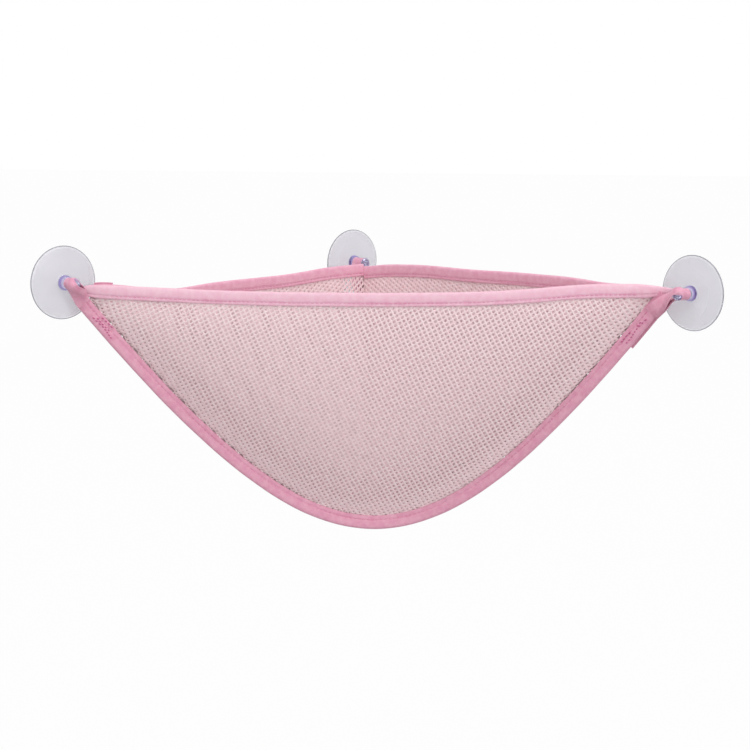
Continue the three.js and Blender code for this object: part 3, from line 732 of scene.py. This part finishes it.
bottom_place = seam_place(seam_frame)
back_top = back_seam_at(BACK_TAPE_TOP)
front_hem = hem_piece("front_hem", FRONT, "front_hem_binding", count=320, span=(-0.036, 1.045),
                      seed=0.4, material=top_lit_hem_cloth)
left_hem = hem_piece("left_back_hem", LEFT, "left_back_hem_binding", count=180, span=(-0.016, 0.4992),
                     seed=1.9, material=top_lit_back_hem_cloth)
right_hem = hem_piece("right_back_hem", RIGHT, "right_back_hem_binding", count=180,
                      span=(1.016, 0.5012), seed=3.1, material=top_lit_back_hem_cloth)
bottom_tape = seam_piece("bottom_seam_tape", bottom_place, "bottom_seam_binding", count=420,
                         span=(0.0, 1.0), seed=4.7)
back_tape = seam_piece("back_seam_tape", back_place, "back_seam_binding", count=120,
                       span=(back_top, BACK_TAPE_END), seed=6.0)


# Stitches: short lengths of thread that dip into the tape at their ends
STITCH_RADIUS, STITCH_LIFT, STITCH_START = 0.24, 0.2, 1.0
ROD_SHARES, ROD_BOW = np.array((0.0, 0.2, 0.5, 0.8, 1.0)), np.array((-1.6, 0.5, 1, 0.5, -1.6))
ROD_TURNS = np.radians(60 * np.arange(6))
HEM_FACE, SEAM_FACE = 1.17, 1.68


def thread_rods(starts, ends, normals, lift, radius):
    """One bent rod from each start to each end, bowed out along the normals."""
    verts, faces = [], []
    for start, end, normal in zip(starts, ends, normals):
        way = unit(end - start)
        side = unit(np.cross(way, normal))
        up = np.cross(side, way)
        centre = mix(start, end, ROD_SHARES) + up * (lift * ROD_BOW)[:, None]
        ring = (side * np.cos(ROD_TURNS)[:, None] + up * np.sin(ROD_TURNS)[:, None]) * radius
        part, part_faces = tube(centre[:, None] + ring[None])
        base = len(verts) * len(part)
        verts.append(part)
        faces += [[k + base for k in f] for f in part_faces]
    return np.concatenate(verts), faces


def at_lengths(x, s, line):
    return np.stack([np.interp(x, s, line[:, k]) for k in range(3)], 1)


def run_of_stitches(place, span, press_at, face):
    """Starts, ends and normals of the stitches along a tape's press line, on both of its faces."""
    w = np.linspace(span[0], span[1], 1200)
    starts, ends, normals = [], [], []
    for offset in (face, -face):
        line = place(w, np.full(w.shape, press_at), np.full(w.shape, offset))
        middle = place(w, np.full(w.shape, press_at), np.full(w.shape, 0.0))
        s = lengths(line)
        at = np.arange(STITCH_START, s[-1] - STITCH, STITCH + STITCH_GAP)
        half_way = at + STITCH / 2
        starts.append(at_lengths(at, s, line))
        ends.append(at_lengths(at + STITCH, s, line))
        normals.append(unit(at_lengths(half_way, s, line) - at_lengths(half_way, s, middle)))
    return np.concatenate(starts), np.concatenate(ends), np.concatenate(normals)


def stitch_piece(name, runs, material=thread_cloth, radius=STITCH_RADIUS):
    starts, ends, normals = (np.concatenate(x) for x in zip(*runs))
    verts, faces = thread_rods(starts, ends, normals, STITCH_LIFT, radius)
    return add_piece(name, verts, faces, "bag", material, (), verts)


hem_runs = ((FRONT, (0.02, 0.98)), (LEFT, (0.02, 0.496)), (RIGHT, (0.98, 0.504)))
seam_runs = ((bottom_place, (0.004, 0.996)), (back_place, (back_top + 0.01, BACK_TAPE_END - 0.01)))
hem_stitches = stitch_piece("hem_stitches", [
    run_of_stitches(hem_place(panel), span, HEM_PRESS, HEM_FACE) for panel, span in hem_runs])
seam_stitches = stitch_piece("seam_stitches", [
    run_of_stitches(place, span, SEAM_PRESS, SEAM_FACE) for place, span in seam_runs])


# Tacks: rows of short close stitches through the loop ends and the bottom seam
TACK_STEP, TACK_LENGTH, TACK_RADIUS, TACK_FACE = 2.6, 1.5, 0.4, 2.04
TACK_UNEVEN, TACK_SLOPE = 0.5, (0.6, 0.4)


def tack_piece(name, end, rows):
    """rows: depth from the fold, distance from that end of the seam and length, in millimetres."""
    rate = np.linalg.norm(seam(end + STEP) - seam(end)) / STEP
    runs = []
    for depth, start, length in rows:
        at = start + np.arange(0, length, TACK_STEP)
        uneven = TACK_UNEVEN * np.sin(7.1 * np.arange(len(at)) + 3 * depth)
        last_depth = depth + TACK_SLOPE[0] * uneven + TACK_SLOPE[1]
        for sign in (1, -1):
            offset = np.full(at.shape, sign * TACK_FACE)
            first = bottom_place(np.abs(end - (at + uneven) / rate), depth + uneven, offset)
            last = bottom_place(np.abs(end - (at + uneven + TACK_LENGTH) / rate), last_depth, offset)
            runs.append((first, last, seam_frame(np.abs(end - at / rate))[2] * sign))
    return stitch_piece(name, runs, tack_cloth, TACK_RADIUS)


left_tack = tack_piece("left_tack", 0, ((1.6, 15, 20), (3.3, 17, 12), (6.0, 19, 9)))
right_tack = tack_piece("right_tack", 1, ((1.8, 21, 22), (3.5, 25, 5), (4.2, 35, 9)))


# Loops: tape round a cup's neck, its two strands twisting into a seam's two faces
LOOP_LEAN, LOOP_HALF, NECK_PLAY, EDGE_FLARE = math.radians(74), 0.4, 0.2, 0.2
HEAD_LIP, HEAD_OVERHANG = 0.4, 1.1
FLARE_FROM, FLARE_FADE, DOME_REACH, DOME_OPENING = 10.5, 4.5, 3.7, 1.005
LATE_FROM, LATE_FADE = 0.6, 0.3
STRAND_OFFSET, BLEND_FROM = 1.72, 0.4
BACK_LOOP_END, BACK_LOOP_OUT = -27, 5.4


def bezier(points, t):
    a, b, c, d = (np.asarray(p)[None] for p in points)
    t = np.asarray(t)[:, None]
    return (1 - t) ** 3 * a + 3 * t * (1 - t) ** 2 * b + 3 * t * t * (1 - t) * c + t ** 3 * d


def turned(start, end, t):
    """Frames between two frames, each given as its three axes."""
    q = [Matrix(np.stack(f, 1).tolist()).to_quaternion() for f in (start, end)]
    return np.array([np.array(q[0].slerp(q[1], float(k)).to_matrix()) for k in t])


def strand(tip, edges, offset, cover, bend):
    """tip: where a strand ends and its axes there; edges and offset: of the tape there, across it and
    from its middle plane; cover: how far its front edge is drawn in over the cup's head, from 0 to 1;
    bend: how far it keeps its way at both ends, as a share of its length."""
    return (*tip, (*edges, offset), cover, bend)


def loop_piece(name, node, wall, along, drop, near, closing, strands):
    """near: where the tape's edge is, off the wall; closing: how soon the two strands come together."""
    hang = loop_hang(wall, drop)
    side = np.cross(wall["off"], hang)
    centre = on_wall(wall, along, LOOP_MIDDLE, 0)
    shares = np.linspace(0, 1, 21)
    plain = near + shares * (LOOP_NEAR + TAPE_WIDTH - near)
    over = near + shares * (HEAD_BASE + HEAD_HEIGHT + HEAD_OVERHANG - near)
    ring = NECK_RADIUS + NECK_PLAY + TAPE_THICKNESS / 2
    round_neck = ring + EDGE_FLARE * (2 * shares - 1) ** 2
    round_head = ring + (HEAD_RADIUS - NECK_RADIUS) * smooth((over - FLARE_FROM) / FLARE_FADE)
    up_dome = np.maximum(over - HEAD_BASE - HEAD_LIP, 0) / DOME_REACH
    round_head = round_head * np.sqrt(DOME_OPENING - up_dome ** 2)

    def across_tape(cover):
        cover = np.asarray(cover, float)[..., None]
        edge = plain + (over - plain) * cover - LOOP_MIDDLE
        return edge, round_neck + (round_head - round_neck) * cover

    from_ring = centre + hang * ring * math.cos(LOOP_LEAN)
    t = np.linspace(0, 1, 26)
    turned_share = smooth(t)[:, None]
    parts = []
    for sign, (end, axes, spread, cover, bend) in zip((1, -1), strands):
        arm = bend * np.linalg.norm(end - centre)
        line = bezier((from_ring, from_ring + hang * arm, end - axes[0] * arm, end), t)
        frames = turned((hang, side, wall["off"]), axes, smooth(t))
        edge, radius = across_tape(cover)
        late = 1 + cover * smooth((shares - LATE_FROM) / LATE_FADE)
        open_share = (1 - t[:, None] ** late) ** closing
        gap = radius * math.sin(LOOP_LEAN) * open_share + spread[2] * (1 - open_share)
        at_tip = spread[0] + (spread[1] - spread[0]) * shares
        out = edge * (1 - turned_share) + at_tip * turned_share
        ahead = (radius - ring) * math.cos(LOOP_LEAN) * ((1 - t) ** 2)[:, None]
        parts.append(line[:, None] + frames[:, None, :, 0] * ahead[..., None]
                     + frames[:, None, :, 1] * (sign * gap)[..., None]
                     + frames[:, None, :, 2] * out[..., None])
    turn = LOOP_LEAN + np.linspace(0, 1, 41)[1:-1] * (2 * np.pi - 2 * LOOP_LEAN)
    covers = strands[0][3] + (strands[1][3] - strands[0][3]) * smooth((1 - np.sin(turn)) / 2)
    edge, radius = across_tape(covers)
    arc = (centre + hang * (np.cos(turn)[:, None] * radius)[..., None]
           + side * (np.sin(turn)[:, None] * radius)[..., None] + wall["off"] * edge[..., None])
    grid = np.concatenate([parts[0][::-1], arc, parts[1]])
    normal = grid_normals(grid)
    verts, faces = slab(grid + normal * LOOP_HALF, grid - normal * LOOP_HALF)
    s = lengths(grid[:, 8])
    cloth = np.stack(np.broadcast_arrays(s[:, None], plain[None, :], 0.0), -1).reshape(-1, 3)
    piece = add_piece(name, verts, faces, None, tape_cloth, [node],
                      np.concatenate([cloth, cloth]), sharp=60)
    end = strands[1][0]
    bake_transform(piece)


def seam_tip(w, way, out_by, face_by):
    """Where a loop runs on into the bottom seam's tape: a point there and the tape's axes."""
    origin, out, face, tangent = (x[0] for x in seam_frame(np.array([w])))
    return origin + out * out_by + face * face_by, (tangent * way, -face, -out * way)


TAIL_BEHIND, TAIL_MIDDLE = 3.05, TAIL_STEP + TAPE_WIDTH / 2
left_tip = seam_tip(0.0055, 1, SEAM_ALLOWANCE / 2, 0)
left_strands = [strand(left_tip, edges=(-6.4, 3.0), offset=STRAND_OFFSET, cover=cover, bend=0.25)
                for cover in (0.35, 1)]
loop_piece("left_loop_tape", "left_corner_loop", LEFT_WALL, LEFT_CUP_ALONG,
           LEFT_LOOP_DROP, near=7.2, closing=1.3, strands=left_strands)
upper_strand = strand(seam_tip(0.974, -1, TAIL_MIDDLE, -TAIL_BEHIND), edges=(-5.0, 5.0), offset=0.0,
                      cover=0, bend=0.2)
lower_strand = strand(seam_tip(0.978, -1, SEAM_ALLOWANCE / 2, 0), edges=(-2.6, 7.4),
                      offset=STRAND_OFFSET, cover=1, bend=0.1)
loop_piece("right_loop_tape", "right_corner_loop", RIGHT_WALL, RIGHT_CUP_ALONG,
           RIGHT_LOOP_DROP, near=7.0, closing=1, strands=(upper_strand, lower_strand))
back_drop = 90 + math.degrees(math.asin((BACK_CORNER_ALONG - BACK_CUP_ALONG) / BACK_LOOP_LENGTH))
origin, out, _, tangent = (x[0] for x in back_seam_frame(np.array([back_seam_at(BACK_LOOP_END)])))
back_tip = (origin + out * BACK_LOOP_OUT, (tangent, np.cross(-out, tangent), -out))
back_strand = strand(back_tip, edges=(-4.5, 4.5), offset=2.2, cover=0, bend=0.3)
loop_piece("back_loop_tape", "back_corner_loop", LEFT_WALL, BACK_CUP_ALONG,
           back_drop, near=LOOP_NEAR, closing=1, strands=(back_strand, back_strand))


# Loop tails: flat ends of tape, sewn on behind the left back hem and the bottom seam
TAIL_HALF, TAIL_RIPPLE, TAIL_COLUMNS = 0.45, 0.25, 9
LEFT_TAIL_OFF, RIGHT_TAIL_SHOWS = 2.4, 13


def tail_piece(name, node, middle, normal, seed):
    ripple = TAIL_RIPPLE * np.sin(np.linspace(0, 5, len(middle)) + seed)[:, None, None]
    grid = middle + normal * ripple
    verts, faces = slab(grid + normal * TAIL_HALF, grid - normal * TAIL_HALF)
    s, t = lengths(grid[:, 0]), lengths(grid[0])
    cloth = np.stack(np.broadcast_arrays(s[:, None], t[None, :], 0.0), -1).reshape(-1, 3)
    return add_piece(name, verts, faces, "bag", tape_cloth, [node],
                     np.concatenate([cloth, cloth]), sharp=50)


def left_tail_piece():
    """Its first rows would all fall on the hem's end, and one of them is enough."""
    rate = LEFT["length"] / BACK_SEAM_AT
    along = np.linspace(-6, LEFT_TAIL_LENGTH, 24)[6:]
    across_tape = np.linspace(-TAIL_STEP, TAPE_WIDTH - TAIL_STEP, TAIL_COLUMNS)
    w, depths = np.meshgrid(np.maximum((LEFT_TAIL_START + along) / rate, 0), across_tape, indexing="ij")
    near, far = (hem_place(LEFT)(w, depths, np.full(w.shape, off))
                 for off in (LEFT_TAIL_OFF, LEFT_TAIL_OFF + 1))
    return tail_piece("left_tail", "left_loop_tail", near, unit(far - near), seed=0.3)


def right_tail_piece():
    """It shows from where the loop's lower strand has run into the seam."""
    rate = np.linalg.norm(seam(1.0) - seam(1 - STEP)) / STEP
    along = np.linspace(RIGHT_TAIL_SHOWS, RIGHT_TAIL_LENGTH, 30)
    origin, out, face, _ = seam_frame(1 - (RIGHT_TAIL_START + along) / rate)
    outs = np.linspace(TAIL_STEP, TAIL_STEP + TAPE_WIDTH, TAIL_COLUMNS)
    middle = origin[:, None] + out[:, None] * outs[None, :, None] - face[:, None] * TAIL_BEHIND
    normal = -face[:, None] + 0 * middle
    return tail_piece("right_tail", "right_loop_tail", middle, normal, seed=1.1)


left_tail, right_tail = left_tail_piece(), right_tail_piece()


# Suction cups: one turned moulding each, with a thin rounded rim
RIM_ROUND, RIM_HALF = 0.4, 0.42
BOSS_FOOT, FOOT_MIDDLE = 0.9, 0.25
CORNER_ROUND, CORNER_MIDDLE, FILLET_MIDDLE = 0.5, 0.15, 0.12


def cup_profile():
    """Radius and height of the outline, from the middle of the hollow round to the head's top."""
    rim_in, rim_out = CUP_RADIUS - RIM_WIDTH, CUP_RADIUS - RIM_ROUND
    points = [(rim_in * k, HOLLOW_DEPTH * (1 - k * k)) for k in np.linspace(0, 1, 10)[:-1]]
    points += [(rim_in, 0.0), (rim_in + 3, 0.0), (rim_out, 0.0)]
    for e in np.radians(np.linspace(-90, 90, 7))[1:]:
        points.append((rim_out + RIM_ROUND * math.cos(e), RIM_HALF + RIM_HALF * math.sin(e)))
    for k in np.linspace(0.06, 1, 14):
        radius = CUP_RADIUS + (BOSS_RADIUS + BOSS_FOOT - CUP_RADIUS) * k
        points.append((radius, CUP_EDGE + (CUP_CROWN - CUP_EDGE) * k * (2 - k)))
    points += [(BOSS_RADIUS + FOOT_MIDDLE, CUP_CROWN + FOOT_MIDDLE),
               (BOSS_RADIUS, CUP_CROWN + BOSS_FOOT), (BOSS_RADIUS, BOSS_TOP - CORNER_ROUND),
               (BOSS_RADIUS - CORNER_MIDDLE, BOSS_TOP - CORNER_MIDDLE),
               (BOSS_RADIUS - CORNER_ROUND, BOSS_TOP), (NECK_RADIUS + CORNER_ROUND, BOSS_TOP),
               (NECK_RADIUS + FILLET_MIDDLE, BOSS_TOP + CORNER_MIDDLE),
               (NECK_RADIUS, BOSS_TOP + CORNER_ROUND), (NECK_RADIUS, HEAD_BASE - CORNER_ROUND),
               (NECK_RADIUS + CORNER_MIDDLE, HEAD_BASE - FILLET_MIDDLE),
               (NECK_RADIUS + CORNER_ROUND, HEAD_BASE), (HEAD_RADIUS - HEAD_LIP, HEAD_BASE)]
    lip, dome = HEAD_BASE + HEAD_LIP, HEAD_HEIGHT - HEAD_LIP
    for e in np.radians(np.linspace(-60, 0, 4)):
        points.append((HEAD_RADIUS - HEAD_LIP + HEAD_LIP * math.cos(e), lip + HEAD_LIP * math.sin(e)))
    for e in np.radians(np.linspace(12, 90, 9)):
        points.append((HEAD_RADIUS * math.cos(e), lip + dome * math.sin(e)))
    points[-1] = (0.0, points[-1][1])
    return np.array(points)


def cup_piece(name, node, body, wall, along):
    profile = cup_profile()
    turns = np.linspace(0, 2 * np.pi, 97)[:-1]
    centre = on_wall(wall, along, 0, 0)
    ring = -wall["along"] * np.cos(turns)[:, None] + UP * np.sin(turns)[:, None]
    verts, cloth, faces, rows = [], [], [], []
    for radius, height in profile:
        if radius == 0:
            rows.append([len(verts)] * len(turns))
            verts.append(centre + wall["off"] * height)
            cloth.append((0, height, 0))
            continue
        rows.append(list(range(len(verts), len(verts) + len(turns))))
        verts.extend(centre + ring * radius + wall["off"] * height)
        cloth.extend([(radius, height, turn * 3) for turn in turns])
    for low, high in zip(rows[:-1], rows[1:]):
        for k in range(len(turns)):
            n = (k + 1) % len(turns)
            face = [low[k], low[n], high[n], high[k]]
            faces.append([v for i, v in enumerate(face) if v not in face[:i]])
    verts = np.array(verts)
    faces = facing_out(verts, faces)
    add_piece(name, verts, faces, body, vinyl, [node], cloth, sharp=40)


for place, wall, along in (("left", LEFT_WALL, LEFT_CUP_ALONG), ("right", RIGHT_WALL, RIGHT_CUP_ALONG),
                           ("back", LEFT_WALL, BACK_CUP_ALONG)):
    cup_piece(f"{place}_cup_moulding", f"{place}_suction_cup", f"{place}_cup", wall, along)


# The cloth's flat cuts: each panel's deepest reach and flat area are worked out, and not used further
def flat_area(panel):
    share = np.linspace(0, 1, 60)
    depth = panel_depth(panel, panel["place"](share)) + EDGE_UNDER_TAPE
    return float(panel["length"] * depth.mean()) * MM * MM


def declare(panel):
    deep = float(panel_depth(panel, panel["place"](np.linspace(0, 1, 60))).max()) + SEAM_ALLOWANCE
    flat_area(panel)


declare(FRONT)
declare(LEFT)
declare(RIGHT)


# Floor, light and camera
FLOOR_HEIGHT, FLOOR_HALF, FLOOR_GREY, FLOOR_WHITE = -0.46, 14.0, 0.55, 0.975
WORLD_LEVEL = 0.54
LIGHT_TARGET = (0, -0.18, -0.05)
CAMERA_PLACE, LENS, SENSOR = (0.08029, -1.30826, 0.11752), 79.62, 36
YAW, TILT, ROLL = 0.066, 0.159, 0.007
collection = bpy.context.scene.collection


def white_to_the_eye(tree, lit, white, share, output):
    """A share of plain white where the camera, a mirror or glass looks, and the lit shader otherwise."""
    path = add_node(tree, "ShaderNodeLightPath")
    seen = path.outputs["Is Camera Ray"]
    for other in ("Is Glossy Ray", "Is Transmission Ray"):
        seen = maths(tree, "MAXIMUM", seen, path.outputs[other])
    joined = add_node(tree, "ShaderNodeMixShader")
    sources = (maths(tree, "MULTIPLY", seen, share), lit.outputs[0], white.outputs[0])
    for socket, source in zip(joined.inputs, sources):
        put(tree, socket, source)
    put(tree, tree.nodes[output].inputs[0], joined.outputs[0])


def add_floor():
    mesh = bpy.data.meshes.new("floor")
    ends = (-FLOOR_HALF, FLOOR_HALF)
    corners = [(ends[i], ends[j], FLOOR_HEIGHT) for i, j in ((0, 0), (1, 0), (1, 1), (0, 1))]
    mesh.from_pydata(corners, [], [(0, 1, 2, 3)])
    floor = bpy.data.objects.new("floor", mesh)
    collection.objects.link(floor)
    pale, tree, shader = nodes_of("pale_floor")
    fill(tree, shader, {"Base Color": (FLOOR_GREY, FLOOR_GREY, FLOOR_GREY, 1), "Roughness": 0.9})
    glow = add_node(tree, "ShaderNodeEmission", Color=(1, 1, 1, 1), Strength=1.0)
    white_to_the_eye(tree, shader, glow, FLOOR_WHITE, "Material Output")
    mesh.materials.append(pale)


def add_world():
    world = bpy.data.worlds.new("studio")
    bpy.context.scene.world = world
    world.use_nodes = True
    tree = world.node_tree
    soft = tree.nodes["Background"]
    fill(tree, soft, {"Color": (1, 1, 1, 1), "Strength": WORLD_LEVEL})
    white = add_node(tree, "ShaderNodeBackground", Color=(1, 1, 1, 1), Strength=1.0)
    white_to_the_eye(tree, soft, white, 1, "World Output")


def area_light(name, place, size, power):
    lamp = bpy.data.lights.new(name, "AREA")
    lamp.shape = "DISK"
    lamp.size = size
    lamp.energy = power
    holder = bpy.data.objects.new(name, lamp)
    collection.objects.link(holder)
    holder.location = place
    holder.rotation_euler = (Vector(LIGHT_TARGET) - Vector(place)).to_track_quat("-Z", "Y").to_euler()


def add_camera():
    forward = np.array((-math.sin(YAW) * math.cos(TILT), math.cos(YAW) * math.cos(TILT),
                        -math.sin(TILT)))
    level = np.array((math.cos(YAW), math.sin(YAW), 0))
    above = np.cross(level, forward)
    right = math.cos(ROLL) * level + math.sin(ROLL) * above
    upward = -math.sin(ROLL) * level + math.cos(ROLL) * above
    lens = bpy.data.cameras.new("camera")
    lens.sensor_width = SENSOR
    lens.lens = LENS
    camera = bpy.data.objects.new("camera", lens)
    collection.objects.link(camera)
    stance = Matrix((right, upward, -forward)).transposed().to_4x4()
    stance.translation = Vector(CAMERA_PLACE)
    camera.matrix_world = stance
    bpy.context.scene.camera = camera


add_floor()
add_world()
area_light("key", (-0.15, -1.2, 2.0), size=1.3, power=21)
area_light("fill_left", (-1.4, -1.3, 0.6), size=1.4, power=5)
area_light("fill_right", (1.4, -1.3, 0.6), size=1.4, power=12.5)
add_camera()
bpy.context.scene.view_settings.view_transform = "Standard"
